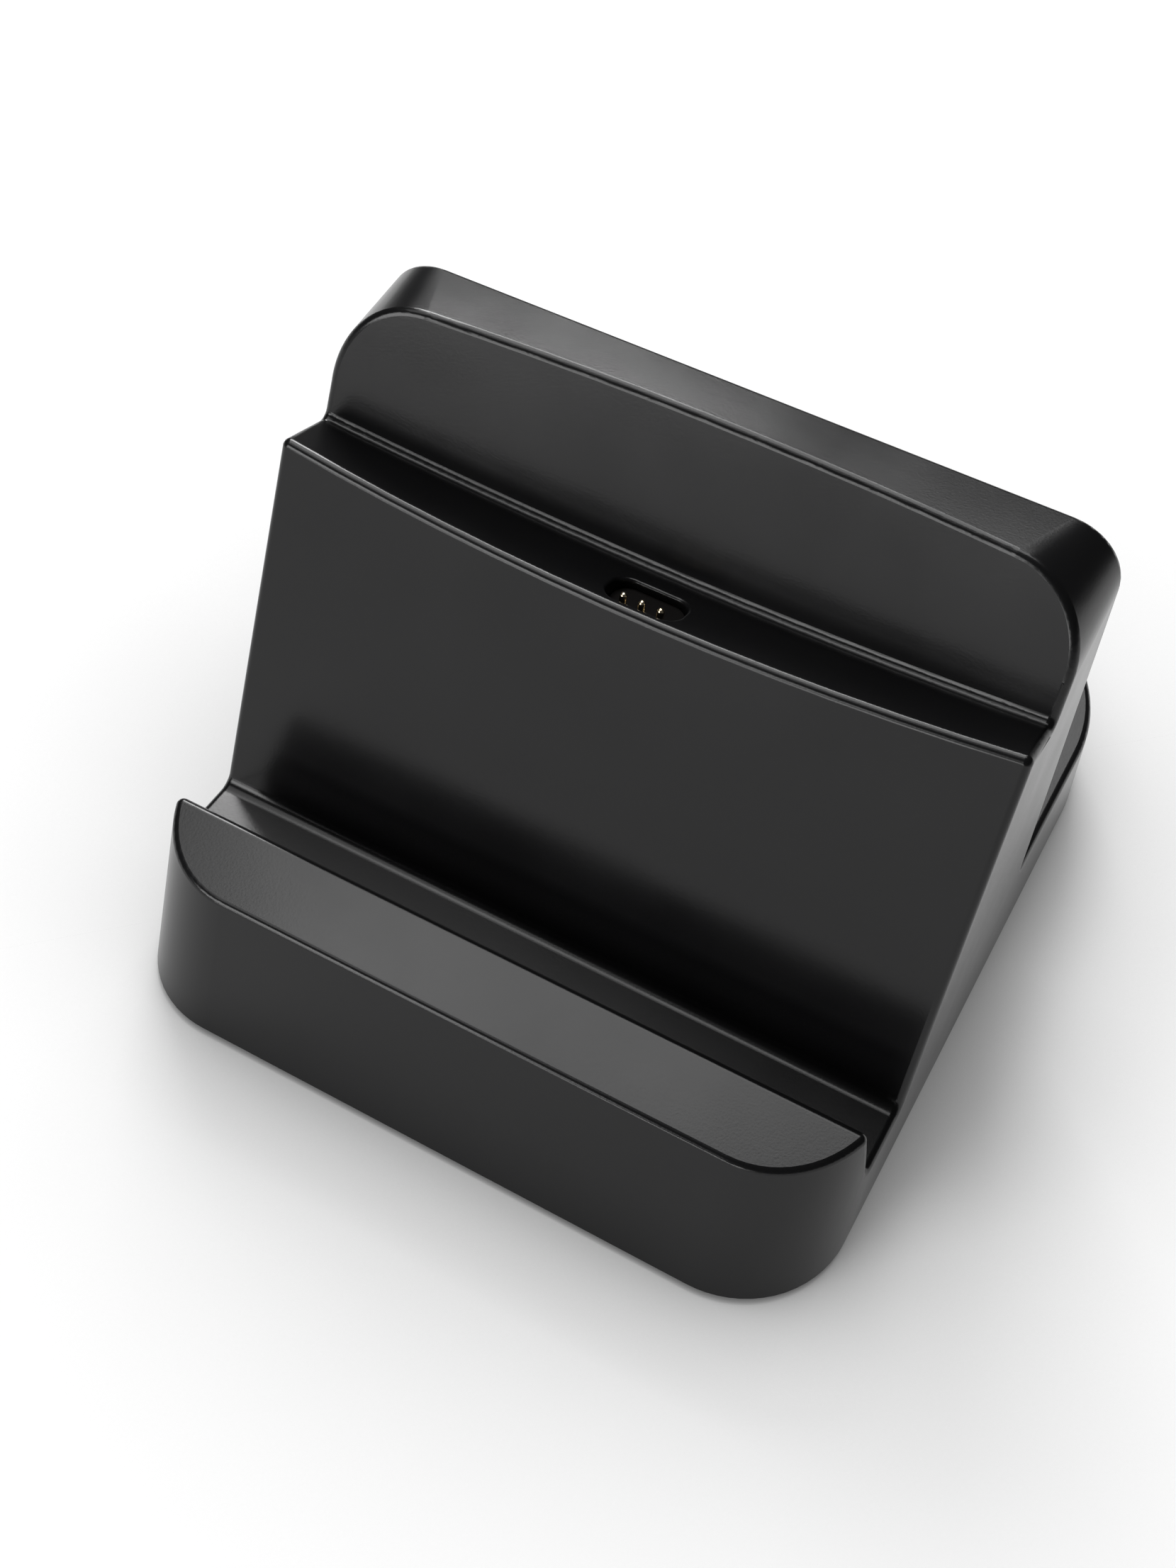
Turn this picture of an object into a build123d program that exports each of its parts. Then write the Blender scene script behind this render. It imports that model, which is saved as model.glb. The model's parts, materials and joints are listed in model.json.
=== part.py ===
"""Handheld console dock: a moulded stand with a front tray, a wall that leans back,
a ledge with three spring contacts, an upper plate and a low rear foot."""

import os
from math import asin, atan, cos, radians, sin, sqrt, tan

from build123d import *

os.makedirs("parts", exist_ok=True)

# Driving dimensions in millimetres and degrees.
# X runs across, Y from front to back, Z up from the surface that the dock stands on,
# and the origin is below the middle of the base.
base_width = 104.0
base_depth = 131.2
foot_stand = 1.2
side_draft = 1.4
front_lean = 14.45
rear_lean = 15.9
front_corner_radius = 15.25
rear_corner_radius = 29.1

lip_front_height = 23.3
lip_rear_height = 25.45
lip_depth = 11.07
tray_height = 15.95
tray_depth = 10.25
tray_draft = 5.0

wall_lean = 16.75
wall_length = 54.0
ledge_depth = 9.6
ledge_dip = 3.2
plate_hollow = 3.0
plate_length = 17.6
top_depth = 12.25
top_fall = 5.05
front_top_radius = 11.6
rear_top_radius = 7.3
rear_deck_height = 19.2
tower_rear_draft = 0.5

wall = 2.4
edge_radius = 1.0
crease_radius = 2.0
mouth_radius = 0.4
sharp_turn = 8.0
fit_gap = 0.15

contact_pitch = 2.54
contact_setback = 3.4
contact_depth = 2.6
contact_height = 2.9
recess_setback = 4.7
recess_width = 10.2
recess_length = 6.0
recess_corner = 2.4

plunger_radius = 0.5
plunger_head_radius = 0.62
plunger_head_height = 1.2
collar_radius = 0.95
collar_height = 0.45
collar_chamfer = 0.15
barrel_radius = 0.85
barrel_floor = 0.5
barrel_crimp = 0.3
tail_length = 0.4
running_gap = 0.05
spring_wire = 0.16
spring_turns = 4

block_height = 3.2
flange_height = 1.5
flange_width = 25.0
flange_length = 7.0
contact_board_width = 38.0
contact_board_thickness = 1.2
contact_screw_spacing = 31.0
magnet_radius = 3.0
magnet_height = 2.5
magnet_spacing = 17.2

cover_thickness = 2.4
cover_recess = 0.3
foot_radius = 6.0
foot_sink = 0.9
front_foot_setback = 12.7
rear_foot_setback = 21.5
rear_foot_inset = 18.0
boss_radius = 3.5
screw_inset = 14.0
rear_screw_setback = 9.6
cover_screw_length = 9.0
cover_screw_radius = 1.3
cover_head_radius = 2.4
cover_head_height = 1.2

board_width = 38.0
board_length = 25.0
board_thickness = 1.6
board_lift = 4.1
standoff_radius = 2.5
small_screw_radius = 0.8
small_head_radius = 1.8
small_head_height = 1.1
cover_drive_span = 2.8
small_drive_span = 2.0
drive_width = 0.7
drive_depth = 0.6

inlet_width = 8.94
inlet_height = 3.26
inlet_length = 7.3
inlet_shell_thickness = 0.3
inlet_pocket_width = 13.0
inlet_pocket_height = 7.4
inlet_pocket_depth = 1.5
inlet_pocket_corner = 1.85
inlet_wall = 2.6
tongue_width = 6.7
tongue_thickness = 0.7
tongue_length = 6.6
tongue_base = 1.8

wire_radius = 0.6
wire_bend = 4.0
wire_gap = 0.6
wire_inset = 7.2
wire_climb = 12.0

beyond = 20.0


def half_width(z):
    """Half the housing's width at the height z."""
    return base_width / 2 - tan(radians(side_draft)) * (z - foot_stand)


def front_face(z):
    """The front wall's Y at the height z."""
    return tan(radians(front_lean)) * (z - foot_stand) - base_depth / 2


def rear_face(z):
    """The rear wall's Y at the height z."""
    return base_depth / 2 - tan(radians(rear_lean)) * (z - foot_stand)


# Points of the side profile, as (Y, Z)
lip_front = (front_face(lip_front_height), lip_front_height)
lip_rear = (lip_front[0] + lip_depth, lip_rear_height)
lip_slope = (lip_rear_height - lip_front_height) / lip_depth
tray_front = (lip_rear[0] + tan(radians(tray_draft)) * (lip_rear_height - tray_height), tray_height)
wall_foot = (tray_front[0] + tray_depth, tray_height)

lean_sin = sin(radians(wall_lean))
lean_cos = cos(radians(wall_lean))
rim = (wall_foot[0] + wall_length * lean_sin, wall_foot[1] + wall_length * lean_cos)


def beside_wall(along, across):
    """A profile point, measured from the rim up along the wall and across it to the rear."""
    return (
        rim[0] + along * lean_sin + across * lean_cos,
        rim[1] + along * lean_cos - across * lean_sin,
    )


def top_along(across):
    """How far above the rim, along the wall, the top lies at a distance across it."""
    return plate_length + (across - ledge_depth) * tan(radians(wall_lean - top_fall))


wall_end = beside_wall(top_along(0), 0)
plate_top = beside_wall(plate_length, ledge_depth)
top_height = plate_top[1]
tower_rear_top = (
    plate_top[0] + top_depth * cos(radians(top_fall)),
    plate_top[1] - top_depth * sin(radians(top_fall)),
)
tower_rear_foot = (
    tower_rear_top[0] + tan(radians(tower_rear_draft)) * (tower_rear_top[1] - rear_deck_height),
    rear_deck_height,
)
front_end = -base_depth / 2 - beyond
rear_end = base_depth / 2 + beyond
lip_start = (front_end, lip_front_height - lip_slope * (lip_front[0] - front_end))


def upright_edges(block):
    """The edges of a block that rise at a corner."""
    return block.edges().filter_by(lambda edge: abs(edge.tangent_at(0.5).Z) > 0.5)


def lengthwise_edges(block):
    """The edges of a block that run from front to back."""
    return block.edges().filter_by(lambda edge: abs(edge.tangent_at(0.5).Y) > 0.9)


def sides(inset, bottom, top):
    """The housing's outline seen from the front, with drafted sides, moved in by the inset."""
    with BuildSketch() as outline:
        with BuildLine():
            Polyline(
                (-half_width(bottom) + inset, bottom),
                (half_width(bottom) - inset, bottom),
                (half_width(top) - inset, top),
                (-half_width(top) + inset, top),
                close=True,
            )
        make_face()
    return outline.sketch.face()


def envelope(inset, bottom):
    """The drafted block with rounded corners that bounds the base, and the tower, moved in by the inset."""
    base_top = lip_rear_height + wall
    front_inset = inset / cos(radians(front_lean))
    rear_inset = inset / cos(radians(rear_lean))
    with BuildPart() as block:
        with BuildSketch(Plane.XZ):
            add(sides(inset, bottom, base_top))
        extrude(amount=2 * base_depth, both=True)
        with BuildSketch(Plane.YZ):
            with BuildLine():
                Polyline(
                    (front_face(bottom) + front_inset, bottom),
                    (rear_face(bottom) - rear_inset, bottom),
                    (rear_face(base_top) - rear_inset, base_top),
                    (front_face(base_top) + front_inset, base_top),
                    close=True,
                )
            make_face()
        extrude(amount=base_width, both=True, mode=Mode.INTERSECT)
        fillet(upright_edges(block).group_by(Axis.Y)[0], front_corner_radius - inset)
        fillet(upright_edges(block).group_by(Axis.Y)[-1], rear_corner_radius - inset)
        with BuildSketch(Plane.XZ.offset(-wall_foot[0])):
            add(sides(inset, bottom, top_height + wall))
        extrude(amount=wall_foot[0] - tower_rear_foot[0])
    return block.part


def corner_cut(front, rear):
    """What is cut from a top corner to round it with a cone that narrows from front to rear."""
    side = 1 if front.X > 0 else -1
    run = (front - rear).normalized()
    slope = (front_top_radius - rear_top_radius) / (front - rear).length
    apex = rear - run * (rear_top_radius / slope)
    from_side = Vector(-side * cos(radians(side_draft)), 0, -sin(radians(side_draft)))
    from_top = Vector(0, -sin(radians(top_fall)), -cos(radians(top_fall)))
    inward = (from_side + from_top).normalized()
    lean = inward.dot(from_side)
    tilt = atan(slope / sqrt(1 - lean**2))
    half_angle = asin(sin(tilt) * lean)
    axis = run * cos(tilt) + inward * sin(tilt)
    touch_side = (axis - from_side * axis.dot(from_side)).normalized()
    touch_top = (axis - from_top * axis.dot(from_top)).normalized()
    outward = touch_top.cross(touch_side).normalized() * side
    reach = (front - apex).length + beyond
    with BuildPart() as cut:
        with Locations(Plane(origin=apex, x_dir=(touch_side + touch_top).normalized(), z_dir=outward)):
            Box(reach, reach, reach, align=(Align.MIN, Align.CENTER, Align.MIN))
        with Locations(Plane(origin=apex, z_dir=axis)):
            Cone(
                0,
                2 * reach * tan(half_angle),
                2 * reach,
                align=(Align.CENTER, Align.CENTER, Align.MIN),
                mode=Mode.SUBTRACT,
            )
    return cut.part


def bow(x, half_span, sag):
    """How far an arc that sags between two ends stands above its lowest point, less the sag."""
    radius = (half_span**2 + sag**2) / (2 * sag)
    return radius - sag - sqrt(radius**2 - x**2)


# The space in front of the upper plate: its floor dips along an arc, its back is hollow
ledge_half = half_width(rim[1])
ledge_reach = ledge_depth + plate_hollow
ledge_end = ledge_half + edge_radius
dip_end = bow(ledge_end, ledge_half, ledge_dip)
hollow_end = ledge_depth - bow(ledge_end, ledge_half, plate_hollow)
ledge_across = Plane(origin=(0, *rim), x_dir=(1, 0, 0), z_dir=(0, -lean_cos, lean_sin))
ledge_from_above = Plane(origin=(0, *rim), x_dir=(1, 0, 0), z_dir=(0, lean_sin, lean_cos))
with BuildPart() as ledge_space:
    with BuildSketch(ledge_across):
        with BuildLine():
            ThreePointArc((-ledge_end, dip_end), (0, -ledge_dip), (ledge_end, dip_end))
            Polyline(
                (ledge_end, dip_end),
                (ledge_end, top_height),
                (-ledge_end, top_height),
                (-ledge_end, dip_end),
            )
        make_face()
    extrude(amount=ledge_depth + beyond, both=True)
    with BuildSketch(ledge_from_above):
        with BuildLine():
            ThreePointArc((-ledge_end, hollow_end), (0, ledge_reach), (ledge_end, hollow_end))
            Polyline(
                (ledge_end, hollow_end),
                (ledge_end, -beyond),
                (-ledge_end, -beyond),
                (-ledge_end, hollow_end),
            )
        make_face()
    extrude(amount=top_height, both=True, mode=Mode.INTERSECT)


def sharp_edges(block, least_turn):
    """The edges where two faces meet at more than the least turn, in degrees."""

    def turn(edge):
        middle = edge.position_at(0.5)
        sides = [face for face in block.faces() if any(edge.is_same(side) for side in face.edges())]
        return sides[0].normal_at(middle).get_angle(sides[1].normal_at(middle))

    return block.edges().filter_by(lambda edge: turn(edge) > least_turn)


# Heights and places that follow from the driving dimensions
cover_bottom = foot_stand + cover_recess
cover_top = cover_bottom + cover_thickness
board_bottom = cover_top + board_lift
board_top = board_bottom + board_thickness
inlet_middle = board_top + inlet_height / 2
inlet_seat = rear_face(inlet_middle) - inlet_pocket_depth
inlet_inside = inlet_seat - inlet_wall
board_rear = inlet_inside - 2 * fit_gap
board_middle = board_rear - board_length / 2

# The ledge and the upper plate at mid-width, where the dip and the hollow are deepest
rim_middle = beside_wall(-ledge_dip, 0)
foot_middle = beside_wall(-ledge_dip, ledge_reach)
plate_middle = beside_wall(top_along(ledge_reach), ledge_reach)

contact_y, contact_surface = beside_wall(-ledge_dip, contact_setback)
recess_y = beside_wall(-ledge_dip, recess_setback)[0]
recess_floor = contact_surface - contact_depth
pad_bottom = recess_floor - block_height
flange_bottom = pad_bottom - flange_height
contact_board_bottom = flange_bottom - contact_board_thickness

tray_middle = (tray_front[0] + wall_foot[0]) / 2
rear_screw_y = tower_rear_foot[0] + boss_radius + rear_screw_setback
screw_x = base_width / 2 - screw_inset
rear_foot_x = base_width / 2 - rear_foot_inset
front_foot_y = front_foot_setback - base_depth / 2
rear_foot_y = base_depth / 2 - rear_foot_setback
feet_places = {
    "front_left": (-screw_x, front_foot_y),
    "front_right": (screw_x, front_foot_y),
    "rear_left": (-rear_foot_x, rear_foot_y),
    "rear_right": (rear_foot_x, rear_foot_y),
}
cover_screw_places = {
    "front_left": (-screw_x, tray_middle),
    "front_right": (screw_x, tray_middle),
    "rear_left": (-screw_x, rear_screw_y),
    "rear_right": (screw_x, rear_screw_y),
}
contact_places = {"left": -contact_pitch, "middle": 0.0, "right": contact_pitch}
side_places = {"left": -1, "right": 1}
board_screw_places = {
    "front_left": (-board_width / 2 + wall, board_middle - board_length / 2 + wall),
    "front_right": (board_width / 2 - wall, board_middle - board_length / 2 + wall),
    "rear_left": (-board_width / 2 + wall, board_middle + board_length / 2 - wall),
    "rear_right": (board_width / 2 - wall, board_middle + board_length / 2 - wall),
}


def facing_rear(y):
    """A plane across the inlet at Y, with its normal to the rear."""
    return Plane(origin=(0, y, inlet_middle), x_dir=(1, 0, 0), z_dir=(0, 1, 0))


# The room inside the housing, less the pads and bosses that stay solid
with BuildPart() as hollow:
    add(envelope(wall, 0))
    with BuildSketch(Plane.YZ):
        with BuildLine():
            Polyline(
                (front_end, -beyond),
                lip_start,
                lip_rear,
                tray_front,
                wall_foot,
                rim_middle,
                foot_middle,
                plate_middle,
                tower_rear_top,
                tower_rear_foot,
                (rear_end, rear_deck_height),
                (rear_end, -beyond),
                close=True,
            )
        make_face()
        offset(amount=-wall, kind=Kind.INTERSECTION, mode=Mode.REPLACE)
    extrude(amount=base_width, both=True, mode=Mode.INTERSECT)
    fillet(lengthwise_edges(hollow).group_by(Axis.Z)[-1], front_top_radius - wall)
    with BuildSketch(Plane.XY.offset(cover_top)):
        with Locations(*cover_screw_places.values()):
            Circle(boss_radius)
    extrude(amount=rear_deck_height - cover_top, mode=Mode.SUBTRACT)
    with BuildSketch(Plane.XY.offset(pad_bottom)):
        with Locations((0, recess_y + flange_length / 2 + wall)):
            Rectangle(contact_board_width, flange_length + beyond, align=(Align.CENTER, Align.MAX))
    extrude(amount=block_height + beyond, mode=Mode.SUBTRACT)
    with BuildSketch(Plane.XY.offset(flange_bottom)):
        with Locations((0, recess_y)):
            with GridLocations(contact_screw_spacing, 0, 2, 1):
                Circle(standoff_radius)
    extrude(amount=flange_height, mode=Mode.SUBTRACT)
    with BuildSketch(facing_rear(inlet_inside)):
        Rectangle(inlet_pocket_width + 2 * wall, inlet_pocket_height + wall)
    extrude(amount=beyond, mode=Mode.SUBTRACT)


with BuildPart() as housing:
    add(envelope(0, foot_stand))
    with BuildSketch(Plane.YZ):
        with BuildLine():
            Polyline(
                (front_end, -beyond),
                lip_start,
                lip_rear,
                tray_front,
                wall_foot,
                wall_end,
                tower_rear_top,
                tower_rear_foot,
                (rear_end, rear_deck_height),
                (rear_end, -beyond),
                close=True,
            )
        make_face()
    extrude(amount=base_width, both=True, mode=Mode.INTERSECT)
    add(ledge_space.part, mode=Mode.SUBTRACT)
    fillet(housing.edges().filter_by(Axis.X).sort_by_distance((0, *wall_foot))[0], crease_radius)
    for edge in lengthwise_edges(housing).group_by(Axis.Z)[-1]:
        front, rear = sorted((edge @ 0, edge @ 1), key=lambda end: end.Y)
        add(corner_cut(front, rear), mode=Mode.SUBTRACT)
    outer_edges = sharp_edges(housing, sharp_turn).filter_by_position(
        Axis.Z, foot_stand + wall, top_height
    )
    fillet(outer_edges, edge_radius)
    with BuildSketch(Plane.XY.offset(pad_bottom - wall)):
        with Locations((0, recess_y)):
            RectangleRounded(recess_width, recess_length, recess_corner)
    extrude(amount=beyond, mode=Mode.SUBTRACT)
    recess_mouth = (
        housing.edges()
        .filter_by_position(Axis.X, -recess_width / 2, recess_width / 2)
        .filter_by_position(Axis.Y, recess_y - recess_length / 2, recess_y + recess_length / 2)
        .filter_by_position(Axis.Z, recess_floor, rim[1])
    )
    fillet(recess_mouth, mouth_radius)
    add(hollow.part, mode=Mode.SUBTRACT)
    with BuildSketch(Plane.XY.offset(cover_top)):
        with Locations(*cover_screw_places.values()):
            Circle(cover_screw_radius)
    extrude(amount=cover_screw_length - wall / 2, mode=Mode.SUBTRACT)
    with BuildSketch(Plane.XY.offset(flange_bottom)):
        with Locations((0, recess_y)):
            with GridLocations(contact_screw_spacing, 0, 2, 1):
                Circle(small_screw_radius)
    extrude(amount=block_height + flange_height, mode=Mode.SUBTRACT)
    with BuildSketch(Plane.XY.offset(pad_bottom)):
        with Locations((0, recess_y)):
            with GridLocations(magnet_spacing, 0, 2, 1):
                Circle(magnet_radius)
    extrude(amount=magnet_height, mode=Mode.SUBTRACT)
    with BuildSketch(facing_rear(inlet_seat)):
        RectangleRounded(inlet_pocket_width, inlet_pocket_height, inlet_pocket_corner)
    extrude(amount=beyond, mode=Mode.SUBTRACT)
    with BuildSketch(facing_rear(inlet_inside)):
        SlotOverall(inlet_width + 2 * fit_gap, inlet_height + 2 * fit_gap)
    extrude(amount=beyond, mode=Mode.SUBTRACT)
housing.part.label = "housing"
export_step(housing.part, "parts/housing.step")

# Underside: cover, its screws and the rubber feet
with BuildPart() as base_cover:
    add(envelope(wall + fit_gap, 0))
    with BuildSketch(Plane.XY.offset(cover_bottom)):
        Rectangle(2 * base_width, 2 * base_depth)
    extrude(amount=cover_thickness, mode=Mode.INTERSECT)
    with BuildSketch(Plane.XY.offset(cover_top)):
        with Locations(*board_screw_places.values()):
            Circle(standoff_radius)
    extrude(amount=board_lift)
    with BuildSketch(Plane.XY.offset(cover_bottom)):
        with Locations(*feet_places.values()):
            Circle(foot_radius)
    extrude(amount=foot_sink, mode=Mode.SUBTRACT)
    with BuildSketch(Plane.XY.offset(cover_bottom)):
        with Locations(*cover_screw_places.values()):
            Circle(cover_head_radius + fit_gap)
    extrude(amount=cover_head_height, mode=Mode.SUBTRACT)
    with BuildSketch(Plane.XY.offset(cover_bottom)):
        with Locations(*cover_screw_places.values()):
            Circle(cover_screw_radius + fit_gap)
    extrude(amount=cover_thickness, mode=Mode.SUBTRACT)
    with BuildSketch(Plane.XY.offset(cover_top)):
        with Locations(*board_screw_places.values()):
            Circle(small_screw_radius)
    extrude(amount=board_lift, mode=Mode.SUBTRACT)
base_cover.part.label = "base_cover"
export_step(base_cover.part, "parts/base_cover.step")

for place, (x, y) in feet_places.items():
    with BuildPart() as foot:
        with BuildSketch():
            with Locations((x, y)):
                Circle(foot_radius)
        extrude(amount=cover_bottom + foot_sink)
        fillet(foot.edges().group_by(Axis.Z)[0], edge_radius / 2)
    foot.part.label = f"foot_{place}"
    export_step(foot.part, f"parts/foot_{place}.step")

for place, (x, y) in cover_screw_places.items():
    with BuildPart() as cover_screw:
        with BuildSketch(Plane.XY.offset(cover_bottom)):
            with Locations((x, y)):
                Circle(cover_head_radius)
        extrude(amount=cover_head_height)
        with BuildSketch(Plane.XY.offset(cover_bottom + cover_head_height)):
            with Locations((x, y)):
                Circle(cover_screw_radius)
        extrude(amount=cover_screw_length)
        with BuildSketch(Plane.XY.offset(cover_bottom)):
            with Locations((x, y)):
                Rectangle(cover_drive_span, drive_width)
                Rectangle(drive_width, cover_drive_span)
        extrude(amount=drive_depth, mode=Mode.SUBTRACT)
    cover_screw.part.label = f"cover_screw_{place}"
    export_step(cover_screw.part, f"parts/cover_screw_{place}.step")

# Contact set in the ledge: insulator, magnets, board, its screws and the three spring contacts
tail_radius = barrel_radius / 2
with BuildPart() as contact_block:
    with BuildSketch(Plane.XY.offset(flange_bottom)):
        with Locations((0, recess_y)):
            RectangleRounded(flange_width, flange_length, edge_radius)
    extrude(amount=flange_height)
    with BuildSketch(Plane.XY.offset(pad_bottom)):
        with Locations((0, recess_y)):
            RectangleRounded(
                recess_width - 2 * fit_gap, recess_length - 2 * fit_gap, recess_corner - fit_gap
            )
    extrude(amount=block_height)
    with BuildSketch(Plane.XY.offset(flange_bottom)):
        with Locations((0, contact_y)):
            with GridLocations(contact_pitch, 0, 3, 1):
                Circle(barrel_radius)
    extrude(amount=flange_height + block_height, mode=Mode.SUBTRACT)
contact_block.part.label = "contact_block"
export_step(contact_block.part, "parts/contact_block.step")

with BuildPart() as contact_board:
    with BuildSketch(Plane.XY.offset(contact_board_bottom)):
        with Locations((0, recess_y)):
            Rectangle(contact_board_width, flange_length)
            with GridLocations(contact_screw_spacing, 0, 2, 1):
                Circle(small_screw_radius + fit_gap, mode=Mode.SUBTRACT)
        with Locations((0, contact_y)):
            with GridLocations(contact_pitch, 0, 3, 1):
                Circle(tail_radius, mode=Mode.SUBTRACT)
    extrude(amount=contact_board_thickness)
contact_board.part.label = "contact_board"
export_step(contact_board.part, "parts/contact_board.step")

for place, side in side_places.items():
    with BuildPart() as magnet:
        with BuildSketch(Plane.XY.offset(pad_bottom)):
            with Locations((side * magnet_spacing / 2, recess_y)):
                Circle(magnet_radius)
        extrude(amount=magnet_height)
    magnet.part.label = f"magnet_{place}"
    export_step(magnet.part, f"parts/magnet_{place}.step")

    with BuildPart() as contact_screw:
        with BuildSketch(Plane.XY.offset(contact_board_bottom)):
            with Locations((side * contact_screw_spacing / 2, recess_y)):
                Circle(small_head_radius)
        extrude(amount=-small_head_height)
        with BuildSketch(Plane.XY.offset(contact_board_bottom)):
            with Locations((side * contact_screw_spacing / 2, recess_y)):
                Circle(small_screw_radius)
        extrude(amount=contact_board_thickness + flange_height + block_height / 2)
        with BuildSketch(Plane.XY.offset(contact_board_bottom - small_head_height)):
            with Locations((side * contact_screw_spacing / 2, recess_y)):
                Rectangle(small_drive_span, drive_width)
                Rectangle(drive_width, small_drive_span)
        extrude(amount=drive_depth, mode=Mode.SUBTRACT)
    contact_screw.part.label = f"contact_screw_{place}"
    export_step(contact_screw.part, f"parts/contact_screw_{place}.step")

barrel_bottom = -block_height - flange_height
bore_bottom = barrel_bottom + barrel_floor
bore_radius = plunger_head_radius + running_gap
collar_bore = plunger_radius + running_gap
head_top = -barrel_crimp - running_gap
head_bottom = head_top - plunger_head_height
ball_bottom = contact_height - plunger_radius
tail_bottom = barrel_bottom - contact_board_thickness - tail_length
spring_radius = plunger_head_radius - spring_wire / 2
spring_height = head_bottom - bore_bottom - spring_wire
spring_pitch = spring_height / spring_turns

for place, x in contact_places.items():
    axis_plane = Plane(origin=(x, contact_y, recess_floor), x_dir=(1, 0, 0), z_dir=(0, -1, 0))
    contact_axis = Axis((x, contact_y, 0), (0, 0, 1))

    with BuildPart() as barrel:
        with BuildSketch(axis_plane):
            with BuildLine():
                Polyline(
                    (0, tail_bottom),
                    (tail_radius, tail_bottom),
                    (tail_radius, barrel_bottom),
                    (barrel_radius, barrel_bottom),
                    (barrel_radius, 0),
                    (collar_radius, 0),
                    (collar_radius, collar_height - collar_chamfer),
                    (collar_radius - collar_chamfer, collar_height),
                    (collar_bore, collar_height),
                    (collar_bore, -barrel_crimp),
                    (bore_radius, -barrel_crimp),
                    (bore_radius, bore_bottom),
                    (0, bore_bottom),
                    close=True,
                )
            make_face()
        revolve(axis=contact_axis)
    barrel.part.label = f"contact_barrel_{place}"
    export_step(barrel.part, f"parts/contact_barrel_{place}.step")

    with BuildPart() as plunger:
        with BuildSketch(axis_plane):
            with BuildLine():
                Polyline(
                    (0, contact_height),
                    (0, head_bottom),
                    (plunger_head_radius, head_bottom),
                    (plunger_head_radius, head_top),
                    (plunger_radius, head_top),
                    (plunger_radius, ball_bottom),
                )
                RadiusArc((plunger_radius, ball_bottom), (0, contact_height), -plunger_radius)
            make_face()
        revolve(axis=contact_axis)
    plunger.part.label = f"contact_plunger_{place}"
    export_step(plunger.part, f"parts/contact_plunger_{place}.step")

    with BuildPart() as spring:
        with BuildLine(Plane.XY.offset(recess_floor + bore_bottom + spring_wire / 2)):
            coil = Helix(spring_pitch, spring_height, spring_radius, center=(x, contact_y, 0))
        with BuildSketch(Plane(origin=coil @ 0, z_dir=coil % 0)):
            Circle(spring_wire / 2)
        sweep(path=coil, is_frenet=True)
    spring.part.label = f"contact_spring_{place}"
    export_step(spring.part, f"parts/contact_spring_{place}.step")

    wire_rear = board_middle - board_length / 2 + 2 * wall
    wire_front = recess_y + flange_length / 2 - 2 * wire_radius
    wire_rise = rear_deck_height - wall - wire_gap - wire_radius
    wire_points = [
        (x, wire_rear, board_top),
        (x, wire_rear, wire_rise),
        (x, tower_rear_foot[0] - wire_inset, wire_rise),
        (x, wire_front, tower_rear_foot[1] + wire_climb),
        (x, wire_front, contact_board_bottom),
    ]
    with BuildPart() as wire:
        with BuildLine():
            route = FilletPolyline(*wire_points, radius=wire_bend)
        with BuildSketch(Plane(origin=route @ 0, z_dir=route % 0)):
            Circle(wire_radius)
        sweep(path=route)
    wire.part.label = f"wire_{place}"
    export_step(wire.part, f"parts/wire_{place}.step")

# Main board with the power inlet, on the cover's standoffs
with BuildPart() as main_board:
    with BuildSketch(Plane.XY.offset(board_bottom)):
        with Locations((0, board_middle)):
            Rectangle(board_width, board_length)
        with Locations(*board_screw_places.values()):
            Circle(small_screw_radius + fit_gap, mode=Mode.SUBTRACT)
    extrude(amount=board_thickness)
main_board.part.label = "main_board"
export_step(main_board.part, "parts/main_board.step")

for place, (x, y) in board_screw_places.items():
    with BuildPart() as board_screw:
        with BuildSketch(Plane.XY.offset(board_top)):
            with Locations((x, y)):
                Circle(small_head_radius)
        extrude(amount=small_head_height)
        with BuildSketch(Plane.XY.offset(board_top)):
            with Locations((x, y)):
                Circle(small_screw_radius)
        extrude(amount=-board_thickness - board_lift + wall / 2)
        with BuildSketch(Plane.XY.offset(board_top + small_head_height)):
            with Locations((x, y)):
                Rectangle(small_drive_span, drive_width)
                Rectangle(drive_width, small_drive_span)
        extrude(amount=-drive_depth, mode=Mode.SUBTRACT)
    board_screw.part.label = f"board_screw_{place}"
    export_step(board_screw.part, f"parts/board_screw_{place}.step")

inlet_mouth = inlet_seat - fit_gap
inlet_rear = inlet_mouth - inlet_length
inlet_inner_width = inlet_width - 2 * inlet_shell_thickness
inlet_inner_height = inlet_height - 2 * inlet_shell_thickness
with BuildPart() as inlet_shell:
    with BuildSketch(facing_rear(inlet_rear)):
        SlotOverall(inlet_width, inlet_height)
        SlotOverall(inlet_inner_width, inlet_inner_height, mode=Mode.SUBTRACT)
    extrude(amount=inlet_length)
inlet_shell.part.label = "inlet_shell"
export_step(inlet_shell.part, "parts/inlet_shell.step")

with BuildPart() as inlet_tongue:
    with BuildSketch(facing_rear(inlet_rear)):
        SlotOverall(inlet_inner_width, inlet_inner_height)
    extrude(amount=tongue_base)
    with BuildSketch(facing_rear(inlet_rear)):
        Rectangle(tongue_width, tongue_thickness)
    extrude(amount=tongue_length)
inlet_tongue.part.label = "inlet_tongue"
export_step(inlet_tongue.part, "parts/inlet_tongue.step")
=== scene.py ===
import json
import math

import bmesh
import bpy
from mathutils import Matrix, Vector


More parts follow.
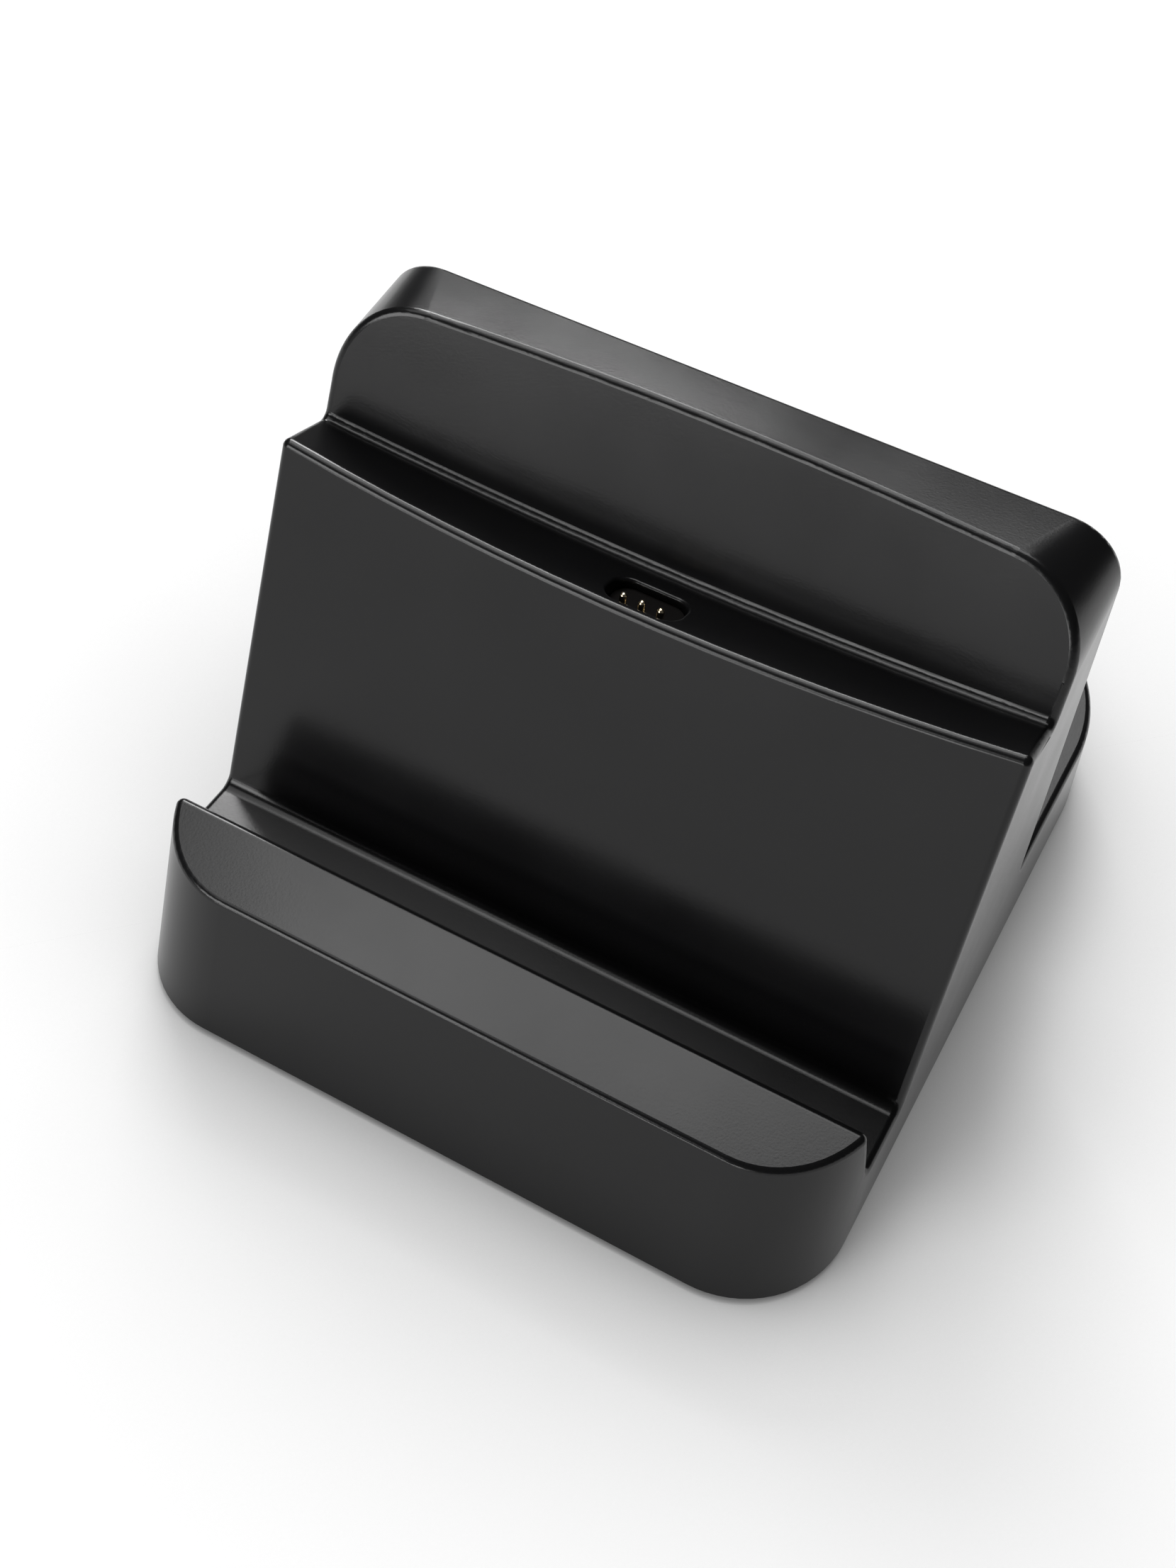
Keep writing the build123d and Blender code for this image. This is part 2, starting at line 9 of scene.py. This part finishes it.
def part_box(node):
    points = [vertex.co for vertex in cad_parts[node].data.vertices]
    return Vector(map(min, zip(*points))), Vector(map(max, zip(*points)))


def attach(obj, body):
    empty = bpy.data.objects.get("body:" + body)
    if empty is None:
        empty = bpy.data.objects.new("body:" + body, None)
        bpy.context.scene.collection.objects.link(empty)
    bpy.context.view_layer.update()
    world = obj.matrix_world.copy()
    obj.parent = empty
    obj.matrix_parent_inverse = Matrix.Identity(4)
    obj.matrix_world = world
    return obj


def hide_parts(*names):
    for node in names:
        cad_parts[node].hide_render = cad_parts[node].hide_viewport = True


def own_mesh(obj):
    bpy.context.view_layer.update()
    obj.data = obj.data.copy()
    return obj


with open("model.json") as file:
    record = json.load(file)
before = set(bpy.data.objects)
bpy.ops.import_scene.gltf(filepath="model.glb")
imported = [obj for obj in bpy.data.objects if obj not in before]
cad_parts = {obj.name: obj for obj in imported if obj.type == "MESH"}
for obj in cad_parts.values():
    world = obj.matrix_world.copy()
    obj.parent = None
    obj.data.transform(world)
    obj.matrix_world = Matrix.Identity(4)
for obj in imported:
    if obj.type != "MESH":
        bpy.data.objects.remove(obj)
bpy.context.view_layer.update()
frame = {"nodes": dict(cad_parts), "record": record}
scene = bpy.context.scene
nodes = frame["nodes"]


# Materials: noise scales are in features per metre, reliefs in metres

noise_low = 0.3
noise_high = 0.7
mottle_scale = 38
mottle_detail = 3
gloss_scale = 55
gloss_detail = 4
grain_detail = 2
grain_strength = 0.35
plastic_index = 1.36
insulator_index = 1.15
tarnish_scale = 900
tarnish_detail = 3
drawn_relief = 0.00001
drawn_strength = 0.2


def new_material(name):
    """A new material, its node tree and its principled shader."""
    material = bpy.data.materials.new(name)
    material.use_nodes = True
    tree = material.node_tree
    shader = tree.nodes["Principled BSDF"]
    return material, tree, shader


def texture_noise(tree, scale, detail):
    """A noise texture in the part's own coordinates."""
    coordinates = tree.nodes.new("ShaderNodeTexCoord")
    noise = tree.nodes.new("ShaderNodeTexNoise")
    noise.inputs["Scale"].default_value = scale
    noise.inputs["Detail"].default_value = detail
    tree.links.new(coordinates.outputs["Object"], noise.inputs["Vector"])
    return noise.outputs["Fac"]


def spread(tree, value, low, high, start=noise_low, end=noise_high):
    """A value from start to end, spread between two other numbers."""
    ramp = tree.nodes.new("ShaderNodeMapRange")
    ramp.inputs["From Min"].default_value = start
    ramp.inputs["From Max"].default_value = end
    ramp.inputs["To Min"].default_value = low
    ramp.inputs["To Max"].default_value = high
    tree.links.new(value, ramp.inputs["Value"])
    return ramp.outputs["Result"]


def colour_between(tree, value, dark, light):
    """A colour between two, chosen by a value from 0 to 1."""
    mix = tree.nodes.new("ShaderNodeMix")
    mix.data_type = "RGBA"
    mix.inputs["A"].default_value = (*dark, 1)
    mix.inputs["B"].default_value = (*light, 1)
    tree.links.new(value, mix.inputs["Factor"])
    return mix.outputs["Result"]


def bump(tree, shader, height, distance, strength):
    """Fine relief from a height value."""
    node = tree.nodes.new("ShaderNodeBump")
    node.inputs["Distance"].default_value = distance
    node.inputs["Strength"].default_value = strength
    tree.links.new(height, node.inputs["Height"])
    tree.links.new(node.outputs["Normal"], shader.inputs["Normal"])


def moulded_plastic(name, dark, light, smooth, rough, grain, relief, index=plastic_index):
    """Moulded plastic or rubber: fine spark-eroded grain, faint mottling and uneven gloss."""
    material, tree, shader = new_material(name)
    mottle = texture_noise(tree, mottle_scale, mottle_detail)
    tree.links.new(colour_between(tree, mottle, dark, light), shader.inputs["Base Color"])
    gloss = texture_noise(tree, gloss_scale, gloss_detail)
    tree.links.new(spread(tree, gloss, smooth, rough), shader.inputs["Roughness"])
    bump(tree, shader, texture_noise(tree, grain, grain_detail), relief, grain_strength)
    shader.inputs["IOR"].default_value = index
    return material


def metal(name, dark, light, smooth, rough, grain):
    """Plated metal with faint tarnish and fine drawn marks."""
    material, tree, shader = new_material(name)
    tarnish = texture_noise(tree, tarnish_scale, tarnish_detail)
    tree.links.new(colour_between(tree, tarnish, dark, light), shader.inputs["Base Color"])
    tree.links.new(spread(tree, tarnish, smooth, rough), shader.inputs["Roughness"])
    bump(tree, shader, texture_noise(tree, grain, grain_detail), drawn_relief, drawn_strength)
    shader.inputs["Metallic"].default_value = 1.0
    return material


finishes = {
    "housing_plastic": moulded_plastic(
        "housing_plastic",
        dark=(0.0035, 0.0035, 0.0038),
        light=(0.0052, 0.0052, 0.0055),
        smooth=0.19,
        rough=0.25,
        grain=3200,
        relief=0.00002,
    ),
    "cover_plastic": moulded_plastic(
        "cover_plastic",
        dark=(0.006, 0.006, 0.0063),
        light=(0.009, 0.009, 0.0094),
        smooth=0.46,
        rough=0.55,
        grain=2400,
        relief=0.00004,
    ),
    "foot_rubber": moulded_plastic(
        "foot_rubber",
        dark=(0.014, 0.014, 0.015),
        light=(0.022, 0.022, 0.023),
        smooth=0.72,
        rough=0.86,
        grain=1800,
        relief=0.00005,
    ),
    "contact_insulator": moulded_plastic(
        "contact_insulator",
        dark=(0.0040, 0.0034, 0.0033),
        light=(0.0065, 0.0056, 0.0054),
        smooth=0.58,
        rough=0.70,
        grain=4000,
        relief=0.00002,
        index=insulator_index,
    ),
    "board": moulded_plastic(
        "board",
        dark=(0.012, 0.085, 0.040),
        light=(0.020, 0.115, 0.056),
        smooth=0.30,
        rough=0.42,
        grain=2600,
        relief=0.00002,
    ),
    "wire": moulded_plastic(
        "wire",
        dark=(0.012, 0.012, 0.013),
        light=(0.020, 0.020, 0.021),
        smooth=0.38,
        rough=0.50,
        grain=3000,
        relief=0.00002,
    ),
    "gold": metal(
        "gold",
        dark=(0.88, 0.71, 0.45),
        light=(0.98, 0.88, 0.69),
        smooth=0.08,
        rough=0.18,
        grain=9000,
    ),
    "steel": metal(
        "steel",
        dark=(0.42, 0.42, 0.43),
        light=(0.60, 0.60, 0.61),
        smooth=0.24,
        rough=0.38,
        grain=7000,
    ),
    "screw_steel": metal(
        "screw_steel",
        dark=(0.10, 0.10, 0.11),
        light=(0.17, 0.17, 0.18),
        smooth=0.30,
        rough=0.45,
        grain=6000,
    ),
    "magnet": metal(
        "magnet",
        dark=(0.50, 0.50, 0.52),
        light=(0.64, 0.64, 0.66),
        smooth=0.14,
        rough=0.24,
        grain=5000,
    ),
}

for part in frame["record"]["subparts"]:
    piece = nodes[part["node"]]
    piece.data.materials.clear()
    piece.data.materials.append(finishes[part["material_slot"]])


# Contact strips on both faces of the power inlet's tongue, in metres

strip_count = 12
strip_pitch = 0.0005
strip_half_width = 0.00013
strip_length = 0.0038
strip_rise = 0.00003
strip_inset = 0.0008
strip_end_steps = 6
tongue_thickness = 0.0007


def strip_outline(centre, tip):
    """The outline of one strip with its two round ends, in X and Y."""
    outline = []
    for end, first_turn in ((tip, 0), (tip - strip_length, math.pi)):
        for step in range(strip_end_steps + 1):
            turn = first_turn + math.pi * step / strip_end_steps
            x = centre + strip_half_width * math.cos(turn)
            y = end + strip_half_width * math.sin(turn)
            outline.append((x, y))
    return outline


def tongue_contacts():
    """All the strips as one mesh, sunk into the tongue so that they stand just proud of it."""
    low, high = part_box("inlet_tongue")
    middle = (low[2] + high[2]) / 2
    mesh = bpy.data.meshes.new("inlet_contacts")
    build = bmesh.new()
    for side in (-1, 1):
        sunk = middle + side * (tongue_thickness / 2 - strip_rise)
        proud = middle + side * (tongue_thickness / 2 + strip_rise)
        for index in range(strip_count):
            centre = (index - (strip_count - 1) / 2) * strip_pitch
            outline = strip_outline(centre, high[1] - strip_inset)
            bottom = [build.verts.new((x, y, sunk)) for x, y in outline]
            top = [build.verts.new((x, y, proud)) for x, y in outline]
            build.faces.new(bottom)
            build.faces.new(top)
            for first in range(len(outline)):
                second = (first + 1) % len(outline)
                build.faces.new((bottom[first], bottom[second], top[second], top[first]))
    bmesh.ops.recalc_face_normals(build, faces=build.faces)
    build.to_mesh(mesh)
    build.free()
    mesh.materials.append(finishes["gold"])
    piece = bpy.data.objects.new("inlet_contacts", mesh)
    scene.collection.objects.link(piece)
    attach(piece, "dock")


tongue_contacts()


# Contact springs, copied onto the dock body as meshes of their own

for place in ("left", "middle", "right"):
    name = f"contact_spring_{place}"
    coil = bpy.data.objects.new(f"spring_coil_{place}", nodes[name].data.copy())
    coil.matrix_world = nodes[name].matrix_world
    scene.collection.objects.link(coil)
    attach(coil, "dock")
    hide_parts(name)
    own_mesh(coil)


# Floor and backdrop: a level of 1 is white, reaches are in metres

paper_dark = (0.92, 0.92, 0.92)
paper_light = (0.94, 0.94, 0.94)
paper_smooth = 0.85
paper_rough = 0.95
fibre_scale = 60
fibre_detail = 4
glow_share = 0.6
shade_reach = 0.12
shade_depth = 2.0
white_reach = 0.4
fade_reach = 2.5
floor_half = 12.0
room_level = 0.05
backdrop_level = 0.4
backdrop_top = 0.16


def looked_at(tree):
    """1 for a ray from the camera, a reflection or a clear material, and 0 for falling light."""
    path = tree.nodes.new("ShaderNodeLightPath")
    seen = path.outputs["Is Camera Ray"]
    for kind in ("Is Glossy Ray", "Is Transmission Ray"):
        either = tree.nodes.new("ShaderNodeMath")
        either.operation = "MAXIMUM"
        tree.links.new(seen, either.inputs[0])
        tree.links.new(path.outputs[kind], either.inputs[1])
        seen = either.outputs["Value"]
    return seen


def floor_glow_with_painted_shadow(tree):
    """A white glow with a painted contact shadow: ambient occlusion darkens it close beside the object,
    and it dims far away from it.
    """
    # Painted contact shadow: ambient occlusion within shade_reach, raised to the power shade_depth,
    # darkens the glow beside the object
    shade = tree.nodes.new("ShaderNodeAmbientOcclusion")
    shade.inputs["Distance"].default_value = shade_reach
    painted_contact_shadow = tree.nodes.new("ShaderNodeMath")
    painted_contact_shadow.operation = "POWER"
    painted_contact_shadow.inputs[1].default_value = shade_depth
    tree.links.new(shade.outputs["AO"], painted_contact_shadow.inputs[0])
    place = tree.nodes.new("ShaderNodeTexCoord")
    far = tree.nodes.new("ShaderNodeVectorMath")
    far.operation = "LENGTH"
    tree.links.new(place.outputs["Object"], far.inputs[0])
    fade = spread(tree, far.outputs["Value"], 1.0, backdrop_level / glow_share, white_reach, fade_reach)
    level = tree.nodes.new("ShaderNodeMath")
    level.operation = "MULTIPLY"
    tree.links.new(painted_contact_shadow.outputs["Value"], level.inputs[0])
    tree.links.new(fade, level.inputs[1])
    glow = tree.nodes.new("ShaderNodeEmission")
    tree.links.new(level.outputs["Value"], glow.inputs["Strength"])
    return glow.outputs["Emission"]


def floor_material():
    """Matt white paper, with a share of glow where it is looked at; the glow carries a painted contact
    shadow beside the object.
    """
    material, tree, shader = new_material("floor_paper")
    fibre = texture_noise(tree, fibre_scale, fibre_detail)
    paper = colour_between(tree, fibre, paper_dark, paper_light)
    tree.links.new(paper, shader.inputs["Base Color"])
    tree.links.new(spread(tree, fibre, paper_smooth, paper_rough), shader.inputs["Roughness"])
    shader.inputs["Specular IOR Level"].default_value = 0.0

    share = tree.nodes.new("ShaderNodeMath")
    share.operation = "MULTIPLY"
    share.inputs[1].default_value = glow_share
    tree.links.new(looked_at(tree), share.inputs[0])
    mix = tree.nodes.new("ShaderNodeMixShader")
    tree.links.new(share.outputs["Value"], mix.inputs["Fac"])
    tree.links.new(shader.outputs["BSDF"], mix.inputs[1])
    tree.links.new(floor_glow_with_painted_shadow(tree), mix.inputs[2])
    tree.links.new(mix.outputs["Shader"], tree.nodes["Material Output"].inputs["Surface"])
    return material


floor_corners = [(x * floor_half, y * floor_half, 0) for x, y in ((-1, -1), (1, -1), (1, 1), (-1, 1))]
floor_mesh = bpy.data.meshes.new("floor")
floor_mesh.from_pydata(floor_corners, [], [(0, 1, 2, 3)])
floor_mesh.materials.append(floor_material())
floor = bpy.data.objects.new("floor", floor_mesh)
scene.collection.objects.link(floor)


# Lights: a lamp's azimuth is from +X towards +Y, in degrees

lamp_aim = Vector((0, 0, 0.04))
power_per_radiance = 4


def softbox(name, azimuth, elevation, distance, width, height, radiance):
    """A rectangular lamp that faces the object and stays out of the picture."""
    around = math.radians(azimuth)
    above = math.radians(elevation)
    way = Vector((math.cos(around) * math.cos(above), math.sin(around) * math.cos(above), math.sin(above)))
    lamp = bpy.data.lights.new(name, "AREA")
    lamp.shape = "RECTANGLE"
    lamp.size = width
    lamp.size_y = height
    lamp.energy = power_per_radiance * radiance * width * height
    holder = bpy.data.objects.new(name, lamp)
    holder.location = lamp_aim + distance * way
    holder.rotation_euler = (-way).to_track_quat("-Z", "Y").to_euler()
    holder.visible_camera = False
    scene.collection.objects.link(holder)
    return holder


softbox("rear", azimuth=121, elevation=42, distance=1.6, width=0.62, height=0.50, radiance=16.0)
softbox("rear_right", azimuth=97, elevation=42, distance=1.6, width=0.38, height=0.50, radiance=3.6)
softbox("overhead", azimuth=124, elevation=69, distance=1.4, width=0.85, height=0.75, radiance=3.8)
softbox("left", azimuth=200, elevation=64, distance=1.6, width=0.8, height=0.6, radiance=1.8)
softbox("front_left", azimuth=242, elevation=22, distance=1.5, width=0.8, height=0.55, radiance=6.3)
front = softbox("front", azimuth=262, elevation=4, distance=1.5, width=1.0, height=0.2, radiance=6.5)

# The front lamp's flag keeps its light off the floor
flagged = bpy.data.collections.new("flagged")
flagged.objects.link(floor)
flagged.collection_objects[0].light_linking.link_state = "EXCLUDE"
front.light_linking.receiver_collection = flagged


def studio_world():
    """A dim studio, whose backdrop pales towards the floor where it is looked at."""
    world = bpy.data.worlds.new("studio")
    world.use_nodes = True
    tree = world.node_tree
    room = tree.nodes["Background"]
    room.inputs["Color"].default_value = (1, 1, 1, 1)
    room.inputs["Strength"].default_value = room_level
    way = tree.nodes.new("ShaderNodeTexCoord")
    parts = tree.nodes.new("ShaderNodeSeparateXYZ")
    tree.links.new(way.outputs["Generated"], parts.inputs["Vector"])
    backdrop = tree.nodes.new("ShaderNodeBackground")
    backdrop.inputs["Color"].default_value = (1, 1, 1, 1)
    fade = spread(tree, parts.outputs["Z"], backdrop_level, room_level, 0.0, backdrop_top)
    tree.links.new(fade, backdrop.inputs["Strength"])
    mix = tree.nodes.new("ShaderNodeMixShader")
    tree.links.new(looked_at(tree), mix.inputs["Fac"])
    tree.links.new(room.outputs["Background"], mix.inputs[1])
    tree.links.new(backdrop.outputs["Background"], mix.inputs[2])
    tree.links.new(mix.outputs["Shader"], tree.nodes["World Output"].inputs["Surface"])
    return world


scene.world = studio_world()


# Camera: its focal length is in the picture's pixels, its sensor in millimetres

picture_height = 2212
focal_pixels = 2761.15
sensor_size = 36.0
nearest_seen = 0.01
camera_right = Vector((0.876806, 0.474566, 0.0774513))
camera_up = Vector((-0.405469, 0.643123, 0.649606))
camera_back = Vector((0.258470, -0.600982, 0.756316))
camera_place = Vector((0.0642696, -0.1791970, 0.2277721))

camera_data = bpy.data.cameras.new("camera")
camera_data.sensor_width = sensor_size
camera_data.lens = focal_pixels / picture_height * sensor_size
camera_data.clip_start = nearest_seen
camera = bpy.data.objects.new("camera", camera_data)
camera_turn = Matrix((camera_right, camera_up, camera_back)).transposed().to_4x4()
camera.matrix_world = Matrix.Translation(camera_place) @ camera_turn
scene.collection.objects.link(camera)
scene.camera = camera

scene.view_settings.view_transform = "Standard"
